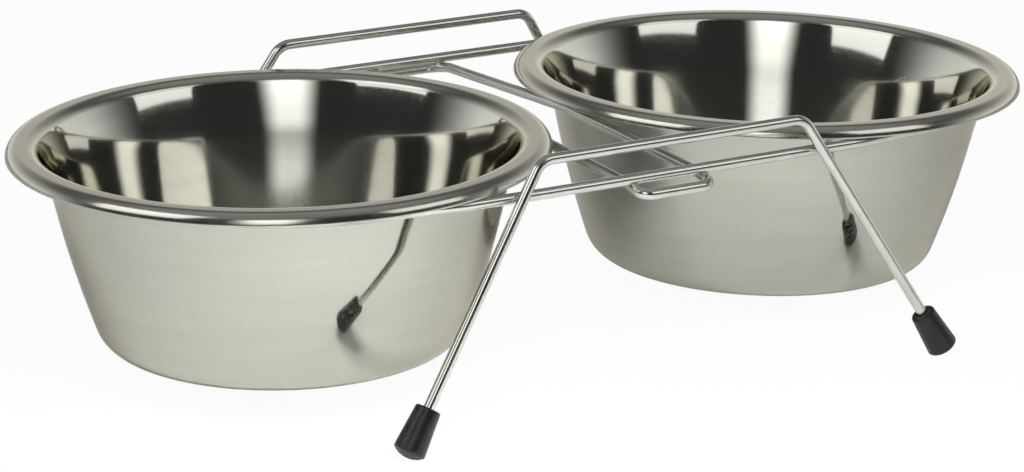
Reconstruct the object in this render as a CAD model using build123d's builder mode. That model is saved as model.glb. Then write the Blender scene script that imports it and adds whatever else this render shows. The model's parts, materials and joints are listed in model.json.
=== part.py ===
"""Double pet bowl: two steel bowls that lift out of a bent-wire stand with rubber feet.

Sizes are in millimetres and degrees. The origin is on the floor under the middle of the stand,
+X runs along the row of bowls, -Y is the front and +Z is up.
"""
import os
from math import acos, asin, atan2, cos, hypot, radians, sin, sqrt, tan

from build123d import *

# Bowls: deep-drawn steel sheet, whose wall flares to a flat flange with a turned-down lip
rim_diameter = 200.0
bowl_height = 77.45
base_diameter = 133.2
sheet = 0.7
lip_radius = 4.5
flange_width = 10.6
throat_bend = 4.3
throat_taper = 22.9
flare_radius = 128.0
flare_depth = 22.7
corner_bend = 11.5
bowl_lean = 0.91
rim_gap = 18.3
floor_gap = 12.8

# Wires of the stand
wire_diameter = 4.0
weld_gap = 0.05
seat_gap = 0.3
run_inset = 5.9
run_length = 172.0
run_bend = 60.0

# Cross loop that ties the two long runs together between the bowls
bridge_width = 30.8
bridge_lift = 0.7
bridge_dip = 12.0
bridge_knee_inset = 6.0
bridge_overhang = 5.0
bridge_corner_bend = 5.0
bridge_knee_bend = 25.0
bridge_crown_bend = 200.0

# Leg wires: an upside-down U in front and another behind
bar_length = 114.0
bar_rise = 13.1
leg_rake = 32.6
leg_splay = 7.1
leg_bend = 8.0

# Rubber feet pushed over the ends of the legs
foot_length = 18.8
foot_top_diameter = 9.3
foot_bottom_diameter = 11.8
foot_dome_height = 2.3
foot_edge_round = 0.8
foot_hole_depth = 12.5
foot_hole_clearance = 0.05
foot_flat_depth = 0.25

# Bowl section, along the middle of the sheet, with its origin in the middle of the rim's top
rim_radius = rim_diameter / 2
half_sheet = sheet / 2
flange_end = Vector(rim_radius - lip_radius, -half_sheet)
throat = Vector(rim_radius - flange_width, -half_sheet)
base_corner = Vector(base_diameter / 2 - half_sheet, half_sheet - bowl_height)

# The flare: an arc that bends outwards from the shoulder of the wall to the throat
taper = radians(throat_taper)
flare_middle = throat + flare_radius * Vector(cos(taper), -sin(taper))
shoulder_taper = asin(sin(taper) - (flare_depth - half_sheet) / flare_radius)
shoulder = flare_middle - flare_radius * Vector(cos(shoulder_taper), -sin(shoulder_taper))
shoulder_up = Vector(sin(shoulder_taper), cos(shoulder_taper))

# Each bowl leans outwards: its lip sits on the two runs of the support loop
lean = radians(bowl_lean)
bowl_x = (rim_diameter + rim_gap) / 2
run_y = rim_radius - run_inset
lip_seat_x = sqrt((rim_radius - half_sheet) ** 2 - run_y**2)
rim_height = floor_gap + bowl_height * cos(lean)
lip_seat_height = rim_height + lip_seat_x * sin(lean) - lip_radius * cos(lean)
loop_height = lip_seat_height - seat_gap - wire_diameter / 2

# Its flare sits on the arc of the loop beyond them, which lies just outside the flare
seat_middle = flare_middle.rotate(Axis.Z, -bowl_lean)
seat_reach = flare_radius - half_sheet - seat_gap - wire_diameter / 2
seat_radius = seat_middle.X - sqrt(seat_reach**2 - (loop_height - rim_height - seat_middle.Y) ** 2)

# Support loop in plan: two straight runs, which slant in to the arc round each bowl
run_end = Vector(run_length / 2, run_y)
slant = acos(seat_radius / hypot(run_end.X - bowl_x, run_y))
seat_angle = atan2(run_y, run_end.X - bowl_x) - slant
seat_start = Vector(bowl_x + seat_radius * cos(seat_angle), seat_radius * sin(seat_angle))

# Cross loop, seen along X: a low crown in the middle, and knees where it dips under the runs
weld_pitch = wire_diameter + weld_gap
bridge_dip_angle = radians(bridge_dip)
bridge_crown = loop_height + bridge_lift
bridge_weld = loop_height - weld_pitch / cos(bridge_dip_angle)
bridge_knee = Vector(run_y - bridge_knee_inset, bridge_weld + bridge_knee_inset * tan(bridge_dip_angle))
bridge_end = Vector(run_y + bridge_overhang, bridge_weld - bridge_overhang * tan(bridge_dip_angle))

# Leg wires: they pass just outside the runs, where they are welded
rake = tan(radians(leg_rake))
splay = tan(radians(leg_splay))
bar_height = loop_height + bar_rise
bar_y = run_y + weld_pitch / cos(radians(leg_splay)) - bar_rise * splay
leg_top = Vector(bar_length / 2, bar_y, bar_height)
leg_down = Vector(rake, splay, -1).normalized()

# Feet: the domed end of each touches the floor
foot_radius = foot_bottom_diameter / 2
dome_radius = (foot_radius**2 + foot_dome_height**2) / (2 * foot_dome_height)
dome_middle = dome_radius - foot_flat_depth
foot_top_height = dome_middle - (foot_length - dome_radius) * leg_down.Z
foot_top = leg_top + leg_down * ((foot_top_height - leg_top.Z) / leg_down.Z)
leg_end = foot_top + leg_down * foot_hole_depth

SIDES = {"left": -1, "right": 1}
FACES = {"front": -1, "back": 1}

os.makedirs("parts", exist_ok=True)


def save(part, label):
    """Labels a finished piece and writes it."""
    part.label = label
    export_step(part, f"parts/{label}.step")
    size = part.bounding_box().size
    print(f"{label}: {size.X:.1f} x {size.Y:.1f} x {size.Z:.1f} mm, {part.volume / 1000:.2f} cm3")


def mirrored(point, side, face):
    """The same place at the other end (side) or on the other face of the stand."""
    return Vector(side * point.X, face * point.Y, point.Z)


def swept_wire(path):
    """A round wire of the stand's own gauge along a path."""
    with BuildPart() as wire:
        with BuildSketch(Plane(path @ 0, z_dir=path % 0)):
            Circle(wire_diameter / 2)
        sweep(path=path)
    return wire.part


# Bowls
for name, side in SIDES.items():
    outward = Vector(side * cos(lean), 0, -sin(lean))
    bowl_axis = Vector(side * sin(lean), 0, cos(lean))
    rim_centre = Vector(side * bowl_x, 0, rim_height)
    with BuildPart() as bowl:
        with BuildSketch(Plane(rim_centre, x_dir=outward, z_dir=outward.cross(bowl_axis))):
            with BuildLine() as sheet_line:
                Line((0, base_corner.Y), base_corner)
                TangentArc(shoulder, base_corner, tangent=-shoulder_up)
                TangentArc(shoulder, throat, tangent=shoulder_up)
                flange = Line(throat, flange_end)
                fillet(sheet_line.vertices().sort_by_distance(base_corner)[0], corner_bend)
                fillet(sheet_line.vertices().sort_by_distance(throat)[0], throat_bend)
                JernArc(flange_end, flange % 1, lip_radius - half_sheet, -90)
            trace(line_width=sheet)
        revolve(axis=Axis(rim_centre, bowl_axis))
    save(bowl.part, f"bowl_{name}")

# Support loop
with BuildLine(Plane.XY.offset(loop_height)) as support_path:
    run = FilletPolyline((0, -run_y), (run_end.X, -run_y), (seat_start.X, -seat_start.Y), radius=run_bend)
    ThreePointArc(run @ 1, (bowl_x + seat_radius, 0), (seat_start.X, seat_start.Y))
    FilletPolyline((seat_start.X, seat_start.Y), (run_end.X, run_y), (0, run_y), radius=run_bend)
    mirror(about=Plane.YZ)
save(swept_wire(support_path.wire()), "support_loop")

# Cross loop
bridge_x = bridge_width / 2
bridge_side = [
    (-bridge_end.X, bridge_end.Y),
    (-bridge_knee.X, bridge_knee.Y),
    (0, bridge_crown),
    (bridge_knee.X, bridge_knee.Y),
    (bridge_end.X, bridge_end.Y),
]
bridge_points = [(bridge_x, y, z) for y, z in bridge_side]
bridge_points += [(-bridge_x, y, z) for y, z in reversed(bridge_side)]
bridge_side_bends = [
    bridge_corner_bend,
    bridge_knee_bend,
    bridge_crown_bend,
    bridge_knee_bend,
    bridge_corner_bend,
]
with BuildLine() as bridge_path:
    FilletPolyline(*bridge_points, radius=2 * bridge_side_bends, close=True)
save(swept_wire(bridge_path.wire()), "bridge_loop")

# Leg wires
for name, face in FACES.items():
    with BuildLine() as leg_path:
        FilletPolyline(
            mirrored(leg_end, -1, face),
            mirrored(leg_top, -1, face),
            mirrored(leg_top, 1, face),
            mirrored(leg_end, 1, face),
            radius=leg_bend,
        )
    save(swept_wire(leg_path.wire()), f"{name}_leg_wire")

# Rubber feet
for face_name, face in FACES.items():
    for side_name, side in SIDES.items():
        place = mirrored(foot_top, side, face)
        down = mirrored(leg_down, side, face)
        across = down.cross(Vector(0, 1, 0)).normalized()
        with BuildPart() as foot:
            with BuildSketch(Plane(place, x_dir=across, z_dir=across.cross(down))) as section:
                with BuildLine():
                    top = Line((0, 0), (foot_top_diameter / 2, 0))
                    taper = Line(top @ 1, (foot_radius, foot_length - foot_dome_height))
                    RadiusArc(taper @ 1, (0, foot_length), -dome_radius)
                    Line((0, foot_length), (0, 0))
                make_face()
                fillet(section.vertices().sort_by(Axis.X)[-2:], foot_edge_round)
                with Locations((0, foot_hole_depth / 2)):
                    Rectangle(wire_diameter + 2 * foot_hole_clearance, foot_hole_depth, mode=Mode.SUBTRACT)
            revolve(axis=Axis(place, down))
            split(bisect_by=Plane.XY, keep=Keep.TOP)
        save(foot.part, f"foot_{face_name}_{side_name}")

print(f"bowls lean {bowl_lean:.2f} deg, rims at {rim_height:.2f} mm, runs at {loop_height:.2f} mm")
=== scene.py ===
# %% [markdown]
# # A double pet bowl in steel, wire and rubber
# Two deep-drawn steel bowls hang side by side in a low stand of bent wire, and four rubber tips keep the
# stand from sliding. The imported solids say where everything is. This lesson remakes each piece with a
# finer surface, because polished metal shows every flat facet, and gives each its finish: polished, satin
# and brushed steel, bright plated wire and black rubber.

# %% Load the frame
import json
import math

import bpy
from mathutils import Matrix, Quaternion, Vector

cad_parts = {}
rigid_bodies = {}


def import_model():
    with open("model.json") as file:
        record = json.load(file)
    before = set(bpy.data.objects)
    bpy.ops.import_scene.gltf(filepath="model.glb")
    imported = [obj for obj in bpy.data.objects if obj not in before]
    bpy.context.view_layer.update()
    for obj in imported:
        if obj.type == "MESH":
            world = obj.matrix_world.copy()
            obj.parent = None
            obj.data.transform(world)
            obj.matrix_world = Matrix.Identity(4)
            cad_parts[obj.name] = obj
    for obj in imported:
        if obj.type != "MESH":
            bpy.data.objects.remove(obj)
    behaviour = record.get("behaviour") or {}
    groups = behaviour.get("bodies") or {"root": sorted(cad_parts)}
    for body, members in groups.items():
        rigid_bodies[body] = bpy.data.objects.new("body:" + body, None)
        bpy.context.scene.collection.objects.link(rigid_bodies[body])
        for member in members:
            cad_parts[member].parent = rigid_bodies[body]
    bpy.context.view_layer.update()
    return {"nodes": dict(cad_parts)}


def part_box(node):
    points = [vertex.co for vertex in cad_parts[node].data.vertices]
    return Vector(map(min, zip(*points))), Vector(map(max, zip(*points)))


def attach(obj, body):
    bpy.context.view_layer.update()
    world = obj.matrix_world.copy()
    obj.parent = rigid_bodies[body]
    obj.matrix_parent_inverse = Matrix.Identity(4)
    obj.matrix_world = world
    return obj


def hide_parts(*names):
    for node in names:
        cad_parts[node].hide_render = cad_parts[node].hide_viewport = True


for leftover in list(bpy.data.objects):
    bpy.data.objects.remove(leftover)

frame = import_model()
print("solids:", ", ".join(sorted(frame["nodes"])))

# %% [markdown]
# ## Sizes
# The driving sizes are those of the solids, in metres. What can be read from the frame is read from it:
# the support loop lies flat, so its height is the gauge of the wire and its middle is the level of the
# runs.

# %% Sizes of the bowls
MM = 0.001

rim_radius = 100 * MM
bowl_height = 77.45 * MM
base_radius = 66.6 * MM
sheet = 0.7 * MM
lip_radius = 4.5 * MM
flange_width = 10.6 * MM
throat_bend = 4.3 * MM
throat_taper = math.radians(22.9)
flare_radius = 128 * MM
flare_depth = 22.7 * MM
corner_bend = 11.5 * MM
bowl_x = 109.15 * MM
bowl_lean = math.radians(0.91)
floor_gap = 12.8 * MM
rim_height = floor_gap + bowl_height * math.cos(bowl_lean)
print(f"bowls {2 * rim_radius / MM:.0f} mm wide, rims at {rim_height / MM:.2f} mm")

# %% Sizes of the loops
loop_low, loop_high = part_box("support_loop")
wire_radius = (loop_high.z - loop_low.z) / 2
loop_height = (loop_high.z + loop_low.z) / 2
run_y = loop_high.y - wire_radius
seat_radius = loop_high.x - wire_radius - bowl_x
run_half = 86 * MM
run_bend = 60 * MM

bridge_low, bridge_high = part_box("bridge_loop")
bridge_x = bridge_high.x - wire_radius
bridge_end_y = bridge_high.y - wire_radius
bridge_end_z = bridge_low.z + wire_radius
bridge_lift = 0.7 * MM
bridge_dip = math.tan(math.radians(12))
bridge_knee_inset = 6 * MM
bridge_knee_y = run_y - bridge_knee_inset
bridge_corner_bend = 5 * MM
bridge_knee_bend = 25 * MM
bridge_crown_bend = 200 * MM
print(f"wire {2 * wire_radius / MM:.2f} mm, runs at {loop_height / MM:.2f} mm")

# %% Sizes of the legs and feet
leg_low, leg_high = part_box("back_leg_wire")
bar_half = 57 * MM
bar_height = leg_high.z - wire_radius
bar_y = leg_low.y + wire_radius
leg_bend = 8 * MM
leg_rake = math.tan(math.radians(32.6))
leg_splay = math.tan(math.radians(7.1))
leg_down = Vector((leg_rake, leg_splay, -1)).normalized()

foot_length = 18.8 * MM
foot_top_radius = 4.65 * MM
foot_radius = 5.9 * MM
foot_dome_height = 2.3 * MM
foot_flat_depth = 0.25 * MM
foot_edge_round = 0.8 * MM
foot_hole_clearance = 0.05 * MM
foot_hole_radius = wire_radius + foot_hole_clearance
foot_hole_depth = 12.5 * MM
dome_radius = (foot_radius**2 + foot_dome_height**2) / (2 * foot_dome_height)
foot_top_height = dome_radius - foot_flat_depth - (foot_length - dome_radius) * leg_down.z

SIDES = {"left": -1, "right": 1}
FACES = {"front": -1, "back": 1}
print(f"bar at {bar_height / MM:.2f} mm, tops of the feet at {foot_top_height / MM:.2f} mm")

# %% [markdown]
# ## Helpers
# Geometry and shader trees are both made by naming a node, setting it and joining its sockets, which a few
# short helpers keep readable. Every piece starts as a bare line, with numbers on its points that its tree
# reads. A modifier's input is set by the identifier of its socket, since two sockets may share a name.


# %% Node helpers
def set_inputs(tree, node, inputs):
    """Gives each named socket of a node a value, or joins another node's output to it."""
    for name, value in inputs.items():
        socket = node.inputs[name]
        if isinstance(value, bpy.types.NodeSocket):
            tree.links.new(value, socket)
        else:
            socket.default_value = value


def add_node(tree, kind, inputs=None, **settings):
    """Adds a node, makes its settings, and then sets or joins its inputs."""
    node = tree.nodes.new(kind)
    for name, value in settings.items():
        setattr(node, name, value)
    set_inputs(tree, node, inputs or {})
    return node


def calculated(tree, operation, *values):
    """The result of an operation on numbers, or on what other nodes put out."""
    return add_node(tree, "ShaderNodeMath", dict(enumerate(values)), operation=operation).outputs[0]


def geometry_tree(name, **inputs):
    """A geometry tree with a named input of each kind given; returns it, what it is given and its end."""
    tree = bpy.data.node_groups.new(name, "GeometryNodeTree")
    tree.interface.new_socket("Geometry", in_out="INPUT", socket_type="NodeSocketGeometry")
    tree.interface.new_socket("Geometry", in_out="OUTPUT", socket_type="NodeSocketGeometry")
    for label, kind in inputs.items():
        tree.interface.new_socket(label.replace("_", " "), in_out="INPUT", socket_type=kind)
    return tree, tree.nodes.new("NodeGroupInput").outputs, tree.nodes.new("NodeGroupOutput")


# %% Piece helpers
def polyline(name, points, closed=False, **numbers):
    """An object of bare edges through the points, with a number on each point under each given name."""
    mesh = bpy.data.meshes.new(name)
    edges = [(i, i + 1) for i in range(len(points) - 1)]
    if closed:
        edges.append((len(points) - 1, 0))
    mesh.from_pydata(points, edges, [])
    for label, values in numbers.items():
        mesh.attributes.new(label, "FLOAT", "POINT").data.foreach_set("value", values)
    made = bpy.data.objects.new(name, mesh)
    bpy.context.scene.collection.objects.link(made)
    return made


def grow(made, tree, **values):
    """Runs the tree on the object and keeps the result as a plain mesh."""
    modifier = made.modifiers.new(tree.name, "NODES")
    modifier.node_group = tree
    for item in tree.interface.items_tree:
        key = item.name.replace(" ", "_")
        if item.in_out == "INPUT" and key in values:
            modifier[item.identifier] = values[key]
    bpy.context.view_layer.update()
    evaluated = made.evaluated_get(bpy.context.evaluated_depsgraph_get())
    finished = bpy.data.meshes.new_from_object(evaluated)
    finished.name = made.name
    made.modifiers.clear()
    made.data = finished


def seat_piece(piece, body, node=None):
    """Lets a finished piece ride on its body, and stand for a solid; prints how far their boxes differ."""
    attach(piece, body)
    text = f"{piece.name}: {len(piece.data.polygons)} faces"
    if node:
        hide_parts(node)
        corners = [Vector(corner) for corner in piece.bound_box]
        low = Vector(min(c[i] for c in corners) for i in range(3))
        high = Vector(max(c[i] for c in corners) for i in range(3))
        solid_low, solid_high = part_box(node)
        worst = max(*map(abs, low - solid_low), *map(abs, high - solid_high))
        text += f", box within {worst / MM:.3f} mm of the solid"
    print(text)

# %% [markdown]
# ## Steel
# The bowls are pressed from stainless sheet and then polished on a lathe, so the marks run round them.
# Such marks stretch a reflection across their own direction, which is why the lights stand in the bowl as
# upright streaks. A turned piece carries a UV map called lathe: U goes once round it and V is the distance
# along the sheet in metres. Noise that is read on a circle of U closes without a seam, and it is fine in V
# and slow in U. The inside is polished, the outside satin and the rim brushed: each is a mirror, and its
# scratches dull a share of it. A tint keeps the steel a little warm where it is seen at a glancing angle,
# too.


# %% Finish helpers
def new_material(name):
    """A material with its tree and its principled shader."""
    material = bpy.data.materials.new(name)
    material.use_nodes = True
    return material, material.node_tree, material.node_tree.nodes["Principled BSDF"]


def scaled(tree, noise, low, high, noise_low=0.3, noise_high=0.7):
    """Maps a stretch of a noise, which stays near its middle, onto a range."""
    limits = {"From Min": noise_low, "From Max": noise_high, "To Min": low, "To Max": high}
    return add_node(tree, "ShaderNodeMapRange", {"Value": noise, **limits}).outputs["Result"]


def tinted(tree, noise, first, second):
    """A colour that drifts from the first to the second with a noise."""
    shares = {"Factor": scaled(tree, noise, 0, 1), "A": first, "B": second}
    return add_node(tree, "ShaderNodeMix", shares, data_type="RGBA").outputs["Result"]


def bumped(tree, noise, depth):
    """A surface that rises and falls with a noise, by the depth at most."""
    relief = {"Height": noise, "Strength": 1.0, "Distance": depth}
    return add_node(tree, "ShaderNodeBump", relief).outputs["Normal"]


def lathe_marks(tree, lines_per_metre, drift, detail):
    """Noise that runs round a turned piece, fine across the marks and slow along them."""
    uv = add_node(tree, "ShaderNodeUVMap", uv_map="lathe").outputs["UV"]
    axes = add_node(tree, "ShaderNodeSeparateXYZ", {"Vector": uv}).outputs
    angle = calculated(tree, "MULTIPLY", axes["X"], math.tau)
    circle = {"X": calculated(tree, "COSINE", angle), "Y": calculated(tree, "SINE", angle)}
    place = add_node(tree, "ShaderNodeCombineXYZ", {**circle, "Z": axes["Y"]}).outputs["Vector"]
    stretch = add_node(
        tree, "ShaderNodeVectorMath", {0: place, 1: (drift, drift, lines_per_metre)}, operation="MULTIPLY"
    )
    waves = {"Vector": stretch.outputs["Vector"], "Scale": 1.0, "Detail": detail}
    return add_node(tree, "ShaderNodeTexNoise", waves).outputs["Fac"]


# %% Steel finishes
glancing_tint = (0.93, 0.91, 0.83, 1)
across_the_marks = 0.25
scratch_levels = (0.62, 0.68)
haze_reach = 0.24


def steel(name, light, dark, roughness, haze, anisotropy, mark_depth):
    """Stainless sheet: a mirror of the first roughness, with scratches of the second on the share haze."""
    material, tree, shader = new_material(name)
    marks = lathe_marks(tree, lines_per_metre=2400, drift=2.5, detail=4)
    scratches = lathe_marks(tree, lines_per_metre=24000, drift=40, detail=2)
    bands = lathe_marks(tree, lines_per_metre=160, drift=1.2, detail=2)
    tangent = add_node(tree, "ShaderNodeTangent", direction_type="UV_MAP", uv_map="lathe")
    faint, full = (level - haze_reach * haze for level in scratch_levels)
    set_inputs(tree, shader, {
        "Metallic": 1.0,
        "Specular Tint": glancing_tint,
        "Anisotropic": anisotropy,
        "Anisotropic Rotation": across_the_marks,
        "Tangent": tangent.outputs["Tangent"],
        "Base Color": tinted(tree, bands, dark, light),
        "Roughness": scaled(tree, scratches, *roughness, noise_low=faint, noise_high=full),
        "Normal": bumped(tree, marks, mark_depth),
    })
    return material


polished_steel = steel(
    "polished_steel", light=(0.66, 0.655, 0.595, 1), dark=(0.62, 0.615, 0.555, 1),
    roughness=(0.05, 0.14), haze=0.3, anisotropy=0.6, mark_depth=0.0006 * MM,
)
satin_steel = steel(
    "satin_steel", light=(0.53, 0.525, 0.47, 1), dark=(0.5, 0.495, 0.44, 1),
    roughness=(0.05, 0.3), haze=0.08, anisotropy=0.7, mark_depth=0.0006 * MM,
)
brushed_steel = steel(
    "brushed_steel", light=(0.60, 0.59, 0.53, 1), dark=(0.57, 0.56, 0.50, 1),
    roughness=(0.14, 0.24), haze=0.5, anisotropy=0.4, mark_depth=0.0003 * MM,
)
print("steel:", polished_steel.name, satin_steel.name, brushed_steel.name)

# %% [markdown]
# ## Plated wire and rubber
# The wire is drawn, bent, welded and then plated, so it is a mirror with a faint orange-peel waviness. The
# feet are moulded rubber: nearly black, dull, with a fine grain and a little dust in it. Both have no
# direction of their own, so soft clouds of noise in the piece's space vary their colour and roughness.


# %% Wire and rubber finishes
def object_noise(tree, scale, detail):
    """Noise in the piece's own space, in waves per metre."""
    space = add_node(tree, "ShaderNodeTexCoord").outputs["Object"]
    waves = {"Vector": space, "Scale": scale, "Detail": detail}
    return add_node(tree, "ShaderNodeTexNoise", waves).outputs["Fac"]


def clouded(name, metallic, cloud, first, second, roughness, grain_scale, grain_depth):
    """A finish whose colour and roughness drift in clouds of a scale and detail, over a fine grain."""
    material, tree, shader = new_material(name)
    drift = object_noise(tree, *cloud)
    grain = object_noise(tree, grain_scale, detail=2)
    set_inputs(tree, shader, {
        "Metallic": metallic,
        "Base Color": tinted(tree, drift, first, second),
        "Roughness": scaled(tree, drift, *roughness),
        "Normal": bumped(tree, grain, grain_depth),
    })
    return material


plated = clouded(
    "plated_wire", metallic=1.0, cloud=(90, 3), first=(0.62, 0.615, 0.57, 1), second=(0.7, 0.695, 0.65, 1),
    roughness=(0.15, 0.24), grain_scale=700, grain_depth=0.004 * MM,
)
rubber = clouded(
    "moulded_rubber", metallic=0.0, cloud=(240, 4), first=(0.003, 0.003, 0.003, 1),
    second=(0.01, 0.01, 0.009, 1), roughness=(0.28, 0.42), grain_scale=2600, grain_depth=0.05 * MM,
)
print("finishes:", plated.name, rubber.name)

# %% [markdown]
# ## A tree that turns a section
# A bowl and a foot are both bodies of revolution. The tree takes a bare line as the section, rounds its
# corners by the radius stored on each point, and lays a grid round the axis: each column of the grid is
# the section again, turned a little further. Merging closes the seam and the pole. A grid keeps the points
# of the section exactly, so a tight bend gets as many rows as it needs, where a spin in equal steps would
# starve it. A number on each point, its finish, says which of three materials its row gets.


# %% Helpers inside a geometry tree
def changed(tree, kind, geometry, inputs=None, **settings):
    """A geometry after a node that takes one in and puts one out."""
    return add_node(tree, kind, {"Geometry": geometry, **(inputs or {})}, **settings).outputs["Geometry"]


def stored(tree, label):
    """The number that each point carries under a name."""
    reader = add_node(tree, "GeometryNodeInputNamedAttribute", {"Name": label}, data_type="FLOAT")
    return reader.outputs["Attribute"]


def exceeds(tree, number, limit):
    """Whether a number lies above a limit."""
    compare = add_node(tree, "FunctionNodeCompare", {"A": number, "B": limit}, operation="GREATER_THAN")
    return compare.outputs["Result"]


def rounded_curve(tree, geometry, steps):
    """Mesh edges as a curve whose corners are arcs of the radius stored as bend."""
    curve = add_node(tree, "GeometryNodeMeshToCurve", {"Mesh": geometry}).outputs["Curve"]
    bend = stored(tree, "bend")
    choice = {"Switch": exceeds(tree, bend, 0.0), "False": 0, "True": steps}
    count = add_node(tree, "GeometryNodeSwitch", choice, input_type="INT").outputs["Output"]
    corners = {"Curve": curve, "Count": count, "Radius": bend}
    return add_node(tree, "GeometryNodeFilletCurve", corners, mode="POLY").outputs["Curve"]


def coat(tree, geometry, material):
    """Ends a tree: smooths the faces, makes instances real and gives everything one material."""
    smooth = changed(tree, "GeometryNodeSetShadeSmooth", geometry)
    real = changed(tree, "GeometryNodeRealizeInstances", smooth)
    return changed(tree, "GeometryNodeSetMaterial", real, {"Material": material})


# %% A grid of turned rows
seam_gap = 1e-7


def row_value(tree, section, value, row, data_type="FLOAT"):
    """What the section's points have of a value, read for each row of the grid."""
    return add_node(
        tree, "GeometryNodeSampleIndex", {"Geometry": section, "Value": value, "Index": row},
        data_type=data_type, domain="POINT",
    ).outputs["Value"]


def turned_grid(tree, section, segments):
    """A grid round Z, whose columns are the section; it keeps the lathe map and each row's finish."""
    size = add_node(tree, "GeometryNodeAttributeDomainSize", {"Geometry": section}, component="MESH")
    rows = size.outputs["Point Count"]
    columns = calculated(tree, "ADD", segments, 1.0)
    grid = add_node(
        tree, "GeometryNodeMeshGrid",
        {"Size X": 1.0, "Size Y": 1.0, "Vertices X": columns, "Vertices Y": rows},
    ).outputs
    share = add_node(tree, "ShaderNodeSeparateXYZ", {"Vector": grid["UV Map"]}).outputs
    last = calculated(tree, "SUBTRACT", rows, 1.0)
    row = calculated(tree, "ROUND", calculated(tree, "MULTIPLY", share["Y"], last))
    along = row_value(tree, section, stored(tree, "along"), row)
    lathe = add_node(tree, "ShaderNodeCombineXYZ", {"X": share["X"], "Y": along}).outputs["Vector"]
    finish = row_value(tree, section, stored(tree, "finish"), row)
    mesh = changed(
        tree, "GeometryNodeStoreNamedAttribute", grid["Mesh"], {"Name": "lathe", "Value": lathe},
        data_type="FLOAT2", domain="CORNER",
    )
    mesh = changed(
        tree, "GeometryNodeStoreNamedAttribute", mesh, {"Name": "finish", "Value": finish},
        data_type="FLOAT", domain="POINT",
    )
    position = add_node(tree, "GeometryNodeInputPosition").outputs["Position"]
    point = row_value(tree, section, position, row, data_type="FLOAT_VECTOR")
    angle = calculated(tree, "MULTIPLY", share["X"], math.tau)
    turned = add_node(
        tree, "ShaderNodeVectorRotate", {"Vector": point, "Angle": angle}, rotation_type="Z_AXIS"
    )
    shaped = changed(tree, "GeometryNodeSetPosition", mesh, {"Position": turned.outputs["Vector"]})
    return changed(tree, "GeometryNodeMergeByDistance", shaped, {"Distance": seam_gap})


# %% The turning tree
INSIDE, OUTSIDE, RIM = 0.0, 1.0, 2.0
no_limit = -1e3


def turning_tree():
    """Turns a section in the XZ plane round Z, moves it to its place and keeps it above the floor."""
    tree, given, end = geometry_tree(
        "turned_section", Segments="NodeSocketInt", Bend_steps="NodeSocketInt", Place="NodeSocketVector",
        Turn="NodeSocketVector", Inside="NodeSocketMaterial", Outside="NodeSocketMaterial",
        Rim="NodeSocketMaterial",
    )
    curve = rounded_curve(tree, given["Geometry"], given["Bend steps"])
    length = add_node(tree, "GeometryNodeSplineParameter").outputs["Length"]
    measured = changed(
        tree, "GeometryNodeStoreNamedAttribute", curve, {"Name": "along", "Value": length},
        data_type="FLOAT", domain="POINT",
    )
    section = add_node(tree, "GeometryNodeCurveToMesh", {"Curve": measured}).outputs["Mesh"]
    turned = turned_grid(tree, section, given["Segments"])
    seat = {"Translation": given["Place"], "Rotation": given["Turn"]}
    placed = changed(tree, "GeometryNodeTransform", turned, seat)
    position = add_node(tree, "GeometryNodeInputPosition").outputs["Position"]
    lowest = (no_limit, no_limit, 0.0)
    above = add_node(tree, "ShaderNodeVectorMath", {0: position, 1: lowest}, operation="MAXIMUM")
    standing = changed(tree, "GeometryNodeSetPosition", placed, {"Position": above.outputs["Vector"]})
    coated = coat(tree, standing, given["Inside"])
    for number, label in ((OUTSIDE, "Outside"), (RIM, "Rim")):
        chosen = exceeds(tree, stored(tree, "finish"), number - 0.5)
        paint = {"Selection": chosen, "Material": given[label]}
        coated = changed(tree, "GeometryNodeSetMaterial", coated, paint)
    tree.links.new(coated, end.inputs["Geometry"])
    return tree


turned_section = turning_tree()
print("tree:", turned_section.name, len(turned_section.nodes), "nodes")

# %% [markdown]
# ## Bowls
# A bowl is one sheet, so its section is drawn twice, half the sheet to either side of its middle line: out
# over the flat base, up the bowed wall, out along its flare, over the flat flange and down round the lip,
# whose cut edge is rounded. The stretches are arcs that touch, so a corner's centre comes from the
# stretches beside it.

# %% Arcs of the bowl's section
half_sheet = sheet / 2
lip_middle = lip_radius - half_sheet
lip_centre = Vector((rim_radius - lip_radius, 0, -lip_radius))
flange_end = Vector((lip_centre.x, 0, -half_sheet))
throat = Vector((rim_radius - flange_width, 0, -half_sheet))
corner = Vector((base_radius - half_sheet, 0, half_sheet - bowl_height))

flare_centre = throat + flare_radius * Vector((math.cos(throat_taper), 0, -math.sin(throat_taper)))
shoulder_taper = math.asin(math.sin(throat_taper) - (flare_depth - half_sheet) / flare_radius)
flare_out = Vector((math.cos(shoulder_taper), 0, -math.sin(shoulder_taper)))
shoulder = flare_centre - flare_radius * flare_out

wall = corner - shoulder
wall_radius = -wall.length_squared / (2 * wall.dot(flare_out))
wall_centre = shoulder - wall_radius * flare_out

corner_z = corner.z + corner_bend
corner_reach = math.sqrt((wall_radius - corner_bend) ** 2 - (corner_z - wall_centre.z) ** 2)
corner_centre = Vector((wall_centre.x + corner_reach, 0, corner_z))

throat_z = throat.z - throat_bend
throat_reach = math.sqrt((flare_radius - throat_bend) ** 2 - (throat_z - flare_centre.z) ** 2)
throat_centre = Vector((flare_centre.x - throat_reach, 0, throat_z))


def heading(vector):
    """The angle of a direction in the XZ plane."""
    return math.atan2(vector.z, vector.x)


wall_first = heading(corner_centre - wall_centre)
wall_last = heading(flare_out)
flare_last = heading(throat_centre - flare_centre)
lip_last = math.asin(half_sheet / lip_middle)
print(f"wall radius {wall_radius / MM:.0f} mm, flare radius {flare_radius / MM:.0f} mm")


# %% The bowl's section
def arc(centre, radius, start, end, steps):
    """Points on an arc in the XZ plane, without its first one."""
    angles = [start + (end - start) * i / steps for i in range(1, steps + 1)]
    return [centre + radius * Vector((math.cos(a), 0, math.sin(a))) for a in angles]


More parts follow.
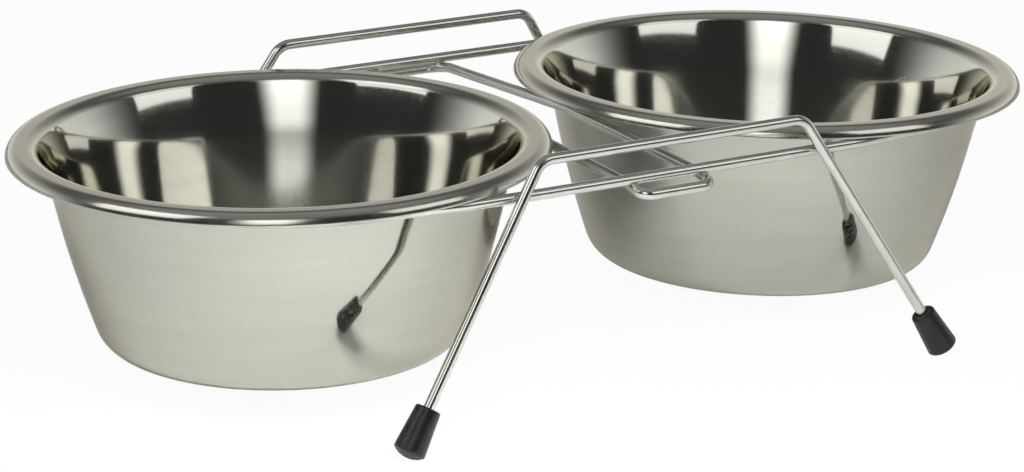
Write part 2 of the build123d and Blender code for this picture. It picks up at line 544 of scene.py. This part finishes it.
def line(start, end, steps):
    """Points on a straight stretch, without its first one."""
    return [start.lerp(end, i / steps) for i in range(1, steps + 1)]


def sheet_face(shift):
    """The wall points and the rim points of one face of the sheet, shifted outwards from its middle."""
    axis = Vector((0, 0, corner.z - shift))
    base_end = Vector((corner_centre.x, 0, axis.z))
    wall = [axis] + line(axis, base_end, steps=8)
    wall += arc(corner_centre, corner_bend + shift, -math.pi / 2, wall_first, steps=14)
    wall += arc(wall_centre, wall_radius + shift, wall_first, wall_last, steps=24)
    wall += arc(flare_centre, flare_radius - shift, wall_last + math.pi, flare_last, steps=16)
    rim = arc(throat_centre, throat_bend - shift, flare_last, math.pi / 2, steps=14)
    rim += line(rim[-1], flange_end - Vector((0, 0, shift)), steps=4)
    rim += arc(lip_centre, lip_middle - shift, math.pi / 2, lip_last, steps=20)
    return wall, rim


outside, outside_rim = sheet_face(half_sheet)
inside, inside_rim = sheet_face(-half_sheet)
edge_centre = lip_centre + lip_middle * Vector((math.cos(lip_last), 0, math.sin(lip_last)))
edge = arc(edge_centre, half_sheet, lip_last + math.pi, lip_last + math.tau, steps=8)[:-1]
rim_points = outside_rim + edge + inside_rim[::-1]
bowl_points = outside + rim_points + inside[::-1]
bowl_finish = [OUTSIDE] * len(outside) + [RIM] * len(rim_points) + [INSIDE] * len(inside)
print("bowl section:", len(bowl_points), "points")

# %% Both bowls
no_bends = [0.0] * len(bowl_points)
for name, side in SIDES.items():
    bowl = polyline(f"steel_bowl_{name}", bowl_points, bend=no_bends, finish=bowl_finish)
    grow(
        bowl, turned_section, Segments=256, Bend_steps=1, Place=(side * bowl_x, 0, rim_height),
        Turn=(0, side * bowl_lean, 0), Inside=polished_steel, Outside=satin_steel, Rim=brushed_steel,
    )
    seat_piece(bowl, f"bowl_{name}", f"bowl_{name}")

# %% [markdown]
# ## Wires
# The stand is four bent wires: a closed loop under the rims, a narrow loop across the middle and two legs
# that are upside-down U's. Each is drawn as the corners of its bending plan, with a bend radius at each
# corner, the way a wire bender is set. One tree rounds the corners and sweeps the round wire along.


# %% The bent-wire tree
def wire_tree():
    """Rounds the corners of a line and sweeps a round wire along it, with flat cut ends."""
    tree, given, end = geometry_tree(
        "bent_wire", Radius="NodeSocketFloat", Sides="NodeSocketInt", Bend_steps="NodeSocketInt",
        Material="NodeSocketMaterial",
    )
    curve = rounded_curve(tree, given["Geometry"], given["Bend steps"])
    gauge = {"Resolution": given["Sides"], "Radius": given["Radius"]}
    ring = add_node(tree, "GeometryNodeCurvePrimitiveCircle", gauge, mode="RADIUS").outputs["Curve"]
    sweep = {"Curve": curve, "Profile Curve": ring, "Fill Caps": True}
    wire = add_node(tree, "GeometryNodeCurveToMesh", sweep).outputs["Mesh"]
    tree.links.new(coat(tree, wire, given["Material"]), end.inputs["Geometry"])
    return tree


def bend_wire(name, points, bends, closed):
    """A wire of the stand's gauge through the points, riding on the stand."""
    wire = polyline(f"wire_{name}", points, closed, bend=bends)
    grow(wire, bent_wire, Radius=wire_radius, Sides=32, Bend_steps=16, Material=plated)
    seat_piece(wire, "stand", name)


bent_wire = wire_tree()
print("tree:", bent_wire.name, len(bent_wire.nodes), "nodes")

# %% Support loop
run_corner = Vector((run_half, run_y, loop_height))
to_corner = Vector((run_half - bowl_x, run_y))
seat_turn = math.atan2(to_corner.y, to_corner.x) - math.acos(seat_radius / to_corner.length)
seat_steps = 72
seat_angles = [seat_turn * (2 * i / seat_steps - 1) for i in range(seat_steps + 1)]
seat = [
    Vector((bowl_x + seat_radius * math.cos(a), seat_radius * math.sin(a), loop_height))
    for a in seat_angles
]
half_loop = [Vector((run_corner.x, -run_corner.y, run_corner.z))] + seat + [run_corner]
half_bends = [run_bend] + [0.0] * len(seat) + [run_bend]
other_half = [Vector((-point.x, -point.y, point.z)) for point in half_loop]
bend_wire("support_loop", half_loop + other_half, half_bends * 2, closed=True)

# %% Cross loop
knee_z = bridge_end_z + (bridge_end_y - bridge_knee_y) * bridge_dip
bridge_profile = [
    (-bridge_end_y, bridge_end_z, bridge_corner_bend),
    (-bridge_knee_y, knee_z, bridge_knee_bend),
    (0, loop_height + bridge_lift, bridge_crown_bend),
    (bridge_knee_y, knee_z, bridge_knee_bend),
    (bridge_end_y, bridge_end_z, bridge_corner_bend),
]
bridge_points = [Vector((bridge_x, y, z)) for y, z, _ in bridge_profile]
bridge_points += [Vector((-bridge_x, y, z)) for y, z, _ in reversed(bridge_profile)]
bridge_bends = [bend for _, _, bend in bridge_profile]
bend_wire("bridge_loop", bridge_points, bridge_bends + bridge_bends[::-1], closed=True)

# %% Leg wires
leg_top = Vector((bar_half, bar_y, bar_height))
foot_top = leg_top + leg_down * ((foot_top_height - bar_height) / leg_down.z)
leg_end = foot_top + leg_down * foot_hole_depth


def mirrored(point, side, face):
    """The same place at the other end (side) or on the other face of the stand."""
    return Vector((side * point.x, face * point.y, point.z))


for name, face in FACES.items():
    plan = [(leg_end, -1), (leg_top, -1), (leg_top, 1), (leg_end, 1)]
    points = [mirrored(point, side, face) for point, side in plan]
    bend_wire(f"{name}_leg_wire", points, [0.0, leg_bend, leg_bend, 0.0], closed=False)

# %% [markdown]
# ## Spot welds
# Where wires cross, they were pressed together and welded: a little metal was squeezed out round the
# contact and plated with the rest. The tree puts a squashed bead at each contact, turned to face from one
# wire to the other and varied in size by a fixed seed.


# %% The weld tree
def weld_tree():
    """Puts a flattened bead at every point, its flat side across the direction stored as facing."""
    tree, given, end = geometry_tree(
        "spot_weld", Size="NodeSocketFloat", Flatness="NodeSocketFloat", Spread="NodeSocketFloat",
        Seed="NodeSocketInt", Material="NodeSocketMaterial",
    )
    ball = {"Segments": 16, "Rings": 10, "Radius": given["Size"]}
    bead = add_node(tree, "GeometryNodeMeshUVSphere", ball).outputs["Mesh"]
    squash = add_node(tree, "ShaderNodeCombineXYZ", {"X": 1.0, "Y": 1.0, "Z": given["Flatness"]})
    flat = changed(tree, "GeometryNodeTransform", bead, {"Scale": squash.outputs["Vector"]})
    direction = {"Y": stored(tree, "facing_y"), "Z": stored(tree, "facing_z")}
    facing = add_node(tree, "ShaderNodeCombineXYZ", direction).outputs["Vector"]
    turn = add_node(tree, "FunctionNodeAlignEulerToVector", {"Vector": facing}, axis="Z")
    sizes = {
        "Min": calculated(tree, "SUBTRACT", 1.0, given["Spread"]),
        "Max": calculated(tree, "ADD", 1.0, given["Spread"]),
        "Seed": given["Seed"],
    }
    size = add_node(tree, "FunctionNodeRandomValue", sizes, data_type="FLOAT")
    beads = add_node(
        tree, "GeometryNodeInstanceOnPoints",
        {
            "Points": given["Geometry"], "Instance": flat,
            "Rotation": turn.outputs["Rotation"], "Scale": size.outputs["Value"],
        },
    )
    coated = coat(tree, beads.outputs["Instances"], given["Material"])
    tree.links.new(coated, end.inputs["Geometry"])
    return tree


spot_weld = weld_tree()
print("tree:", spot_weld.name, len(spot_weld.nodes), "nodes")

# %% Weld places
dip_up = Vector((0, bridge_dip, 1)).normalized()
splay_out = Vector((0, 1, leg_splay)).normalized()
run_leg_x = bar_half + (bar_height - loop_height) * leg_rake
below = Vector((bridge_x, run_y, loop_height)) - dip_up * wire_radius
beside = Vector((run_leg_x, run_y, loop_height)) + splay_out * wire_radius
welds = []
for side in SIDES.values():
    for face in FACES.values():
        welds.append((mirrored(below, side, face), mirrored(dip_up, side, face)))
        welds.append((mirrored(beside, side, face), mirrored(splay_out, side, face)))

nuggets = polyline(
    "spot_welds", [place for place, _ in welds],
    facing_y=[facing.y for _, facing in welds], facing_z=[facing.z for _, facing in welds],
)
grow(nuggets, spot_weld, Size=1.5 * MM, Flatness=0.35, Spread=0.15, Seed=4, Material=plated)
seat_piece(nuggets, "stand")

# %% [markdown]
# ## Rubber feet
# Each foot is a moulded tip that flares towards the floor, with rounded edges, a domed end and a blind
# hole for the leg. The section starts at the middle of the dome, goes up the outside and ends at the
# bottom of the hole. The leg leans, so the dome stands on its low side, and a touch of it is pressed flat
# on the floor.

# %% The foot's section
dome_steps = 8
dome_centre = Vector((0, 0, dome_radius - foot_length))
dome_side = math.asin(foot_radius / dome_radius) - math.pi / 2
dome = arc(dome_centre, dome_radius, -math.pi / 2, dome_side, dome_steps)
foot_points = [Vector((0, 0, -foot_length))] + dome + [
    Vector((foot_top_radius, 0, 0)),
    Vector((foot_hole_radius, 0, 0)),
    Vector((foot_hole_radius, 0, -foot_hole_depth)),
    Vector((0, 0, -foot_hole_depth)),
]
foot_bends = [0.0] * dome_steps + [foot_edge_round, foot_edge_round, 0.0, 0.0, 0.0]
foot_finish = [INSIDE] * len(foot_points)
print("foot section:", len(foot_points), "points")

# %% Feet
for face_name, face in FACES.items():
    for side_name, side in SIDES.items():
        place = f"{face_name}_{side_name}"
        up = -mirrored(leg_down, side, face)
        foot = polyline(f"rubber_foot_{place}", foot_points, bend=foot_bends, finish=foot_finish)
        grow(
            foot, turned_section, Segments=64, Bend_steps=6, Place=mirrored(foot_top, side, face),
            Turn=up.to_track_quat("Z", "Y").to_euler(), Inside=rubber, Outside=rubber, Rim=rubber,
        )
        seat_piece(foot, "stand", f"foot_{place}")

# %% [markdown]
# ## Studio
# Polished metal is what it reflects, so the room matters as much as the metal. The picture is a product
# shot on a white sweep, in a dark room with three soft lights: a tall one behind the camera and a tilted
# one on each side. Each light is two lamps. The face is what the metal shows, with its shape and its level;
# the wash lights the floor and the rubber from that side. The floor glows for the camera, so it is white
# without being lit harder than the object, and its matt share keeps the shadow.

# %% Floor
floor_radius = 30
floor_corners = 64
floor_turns = [math.tau * i / floor_corners for i in range(floor_corners)]
floor_edge = [(floor_radius * math.cos(a), floor_radius * math.sin(a), 0) for a in floor_turns]
floor_mesh = bpy.data.meshes.new("studio_floor")
floor_mesh.from_pydata(floor_edge, [], [range(floor_corners)])
floor = bpy.data.objects.new("studio_floor", floor_mesh)
bpy.context.scene.collection.objects.link(floor)
print("floor:", floor.name)

# %% White paper
glow_shares = {"Is Camera Ray": 0.95, "Is Glossy Ray": 0.05, "Is Transmission Ray": 0.05}

paper, tree, shader = new_material("white_paper")
matt = {"Base Color": (0.9, 0.9, 0.895, 1), "Roughness": 1.0, "Specular IOR Level": 0.0}
set_inputs(tree, shader, matt)
rays = add_node(tree, "ShaderNodeLightPath").outputs
glow_share = 0.0
for kind, share in glow_shares.items():
    kind_share = calculated(tree, "MULTIPLY", rays[kind], share)
    glow_share = calculated(tree, "MAXIMUM", glow_share, kind_share)
glow = add_node(tree, "ShaderNodeEmission", {"Color": (1, 1, 1, 1), "Strength": 1.0})
halves = {0: glow_share, 1: shader.outputs["BSDF"], 2: glow.outputs["Emission"]}
blend = add_node(tree, "ShaderNodeMixShader", halves)
tree.links.new(blend.outputs["Shader"], tree.nodes["Material Output"].inputs["Surface"])
floor_mesh.materials.append(paper)
print("floor finish:", paper.name)

# %% Room
away_from_camera = (0.53, 0.85, 0)
sweep_side = (-0.25, 0.45)
sweep_levels = ((0.0, 1.0), (0.1, 0.85), (0.25, 0.62), (0.4, 0.35), (0.6, 0.08))
ceiling_heights = (0.65, 0.95)
ceiling_levels = (0.03, 0.25)


def eased(tree, value, start, end, low=0.0, high=1.0):
    """Maps a value onto a range, with a soft start and a soft end."""
    limits = {"From Min": start, "From Max": end, "To Min": low, "To Max": high}
    return add_node(
        tree, "ShaderNodeMapRange", {"Value": value, **limits}, interpolation_type="SMOOTHSTEP"
    ).outputs["Result"]


room = bpy.data.worlds.new("studio_room")
bpy.context.scene.world = room
room.use_nodes = True
tree = room.node_tree
direction = add_node(tree, "ShaderNodeTexCoord").outputs["Generated"]
altitude = add_node(tree, "ShaderNodeSeparateXYZ", {"Vector": direction}).outputs["Z"]
ahead = add_node(
    tree, "ShaderNodeVectorMath", {0: direction, 1: away_from_camera}, operation="DOT_PRODUCT"
)
sweep = add_node(tree, "ShaderNodeValToRGB", {"Fac": altitude})
stops = sweep.color_ramp.elements
while len(stops) < len(sweep_levels):
    stops.new(1.0)
for stop, (place, level) in zip(stops, sweep_levels):
    stop.position = place
    stop.color = (level, level, level, 1)
is_ahead = eased(tree, ahead.outputs["Value"], *sweep_side)
white_part = calculated(tree, "MULTIPLY", is_ahead, sweep.outputs["Color"])
ceiling = eased(tree, altitude, *ceiling_heights, *ceiling_levels)
room_level = calculated(tree, "ADD", white_part, ceiling)
tree.links.new(room_level, tree.nodes["Background"].inputs["Color"])
print("room:", room.name)

# %% Light helpers
aim_point = Vector((0, 0, 0.06))


def direction_to(azimuth, elevation):
    """A direction by its angles in degrees; azimuth 0 is the front and grows to the right."""
    around = math.radians(azimuth)
    up = math.radians(elevation)
    return Vector((math.sin(around) * math.cos(up), -math.cos(around) * math.cos(up), math.sin(up)))


def area_light(name, shape, azimuth, elevation, roll, distance, width, height, power):
    """An area light of so many watts, which faces the object and isn't in the picture."""
    light = bpy.data.lights.new(name, "AREA")
    light.shape = shape
    light.size = width
    light.size_y = height
    light.energy = power
    toward = direction_to(azimuth, elevation)
    facing = toward.to_track_quat("Z", "Y") @ Quaternion((0, 0, 1), math.radians(roll))
    lamp = bpy.data.objects.new(name, light)
    lamp.location = aim_point + toward * distance
    lamp.rotation_euler = facing.to_euler()
    lamp.visible_camera = False
    bpy.context.scene.collection.objects.link(lamp)
    print(f"{name}: {power:.1f} W")
    return lamp


# %% Faces and washes
def lit_face(name, azimuth, elevation, roll, distance, width, height, radiance, foot, fade):
    """The face of a soft light as the metal shows it.

    Its lower edge has the share foot of its radiance, and fade is the soft share of its width and height.
    """
    power = radiance * math.pi * width * height
    lamp = area_light(name, "RECTANGLE", azimuth, elevation, roll, distance, width, height, power)
    lamp.visible_diffuse = False
    lamp.data.use_nodes = True
    tree = lamp.data.node_tree
    face = add_node(tree, "ShaderNodeNewGeometry").outputs["Parametric"]
    place = add_node(tree, "ShaderNodeSeparateXYZ", {"Vector": face}).outputs
    ramp = {"Value": place["Y"], "To Min": foot, "To Max": 1.0}
    strength = add_node(tree, "ShaderNodeMapRange", ramp).outputs["Result"]
    for axis, soft in zip("XY", fade):
        off_middle = calculated(tree, "ABSOLUTE", calculated(tree, "SUBTRACT", place[axis], 0.5))
        edge = eased(tree, off_middle, (1 - soft) / 2, 0.5, low=1.0, high=0.0)
        strength = calculated(tree, "MULTIPLY", strength, edge)
    tree.links.new(strength, tree.nodes["Emission"].inputs["Strength"])


def wash(name, azimuth, elevation, distance, level):
    """Light from the same side for floor and rubber; level is the share of white it gives a white floor."""
    power = level * (math.pi * distance) ** 2 / math.sin(math.radians(elevation))
    width = 0.5 * distance
    height = 0.4 * distance
    lamp = area_light(name, "ELLIPSE", azimuth, elevation, 0, distance, width, height, power)
    lamp.visible_glossy = False


# %% Lights
lit_face(
    "face_behind_camera", azimuth=-36, elevation=27, roll=0, distance=2.2, width=1.2, height=1.9,
    radiance=2.5, foot=0.4, fade=(0.75, 0.5),
)
lit_face(
    "face_left", azimuth=-94.6, elevation=38, roll=15, distance=1.3, width=0.85, height=0.74,
    radiance=1.8, foot=0.7, fade=(0.1, 0.1),
)
lit_face(
    "face_right", azimuth=32.5, elevation=36.3, roll=-12, distance=1.1, width=0.655, height=0.54,
    radiance=1.2, foot=1.0, fade=(0.1, 0.1),
)
wash("wash_behind_camera", azimuth=-25, elevation=36, distance=0.54, level=0.58)
wash("wash_left", azimuth=-103, elevation=31, distance=1.8, level=0.15)
wash("wash_right", azimuth=38.5, elevation=31, distance=1.8, level=0.1)

# %% [markdown]
# ## Camera
# The view is that of the picture: fitted angles, distance and lens, a little roll, and no shift.

# %% Camera
view_turn = -31.9408
view_lift = 16.797
view_roll = math.radians(0.6559)
view_distance = 1.41753
target_right = -0.0071895
target_height = 0.035423
back = direction_to(view_turn, view_lift)
level_right = Vector((math.cos(math.radians(view_turn)), math.sin(math.radians(view_turn)), 0))
level_up = back.cross(level_right)
right = level_right * math.cos(view_roll) + level_up * math.sin(view_roll)
up = level_up * math.cos(view_roll) - level_right * math.sin(view_roll)
target = level_right * target_right + Vector((0, 0, target_height))

lens = bpy.data.cameras.new("picture_camera")
lens.sensor_fit = "HORIZONTAL"
lens.sensor_width = 36.0
lens.lens = 129.40
camera = bpy.data.objects.new("picture_camera", lens)
axes = Matrix((right, up, back)).transposed().to_4x4()
camera.matrix_world = Matrix.Translation(target + back * view_distance) @ axes
bpy.context.scene.collection.objects.link(camera)
bpy.context.scene.camera = camera
bpy.context.scene.view_settings.view_transform = "Standard"
print("camera:", tuple(round(value, 3) for value in camera.matrix_world.translation))
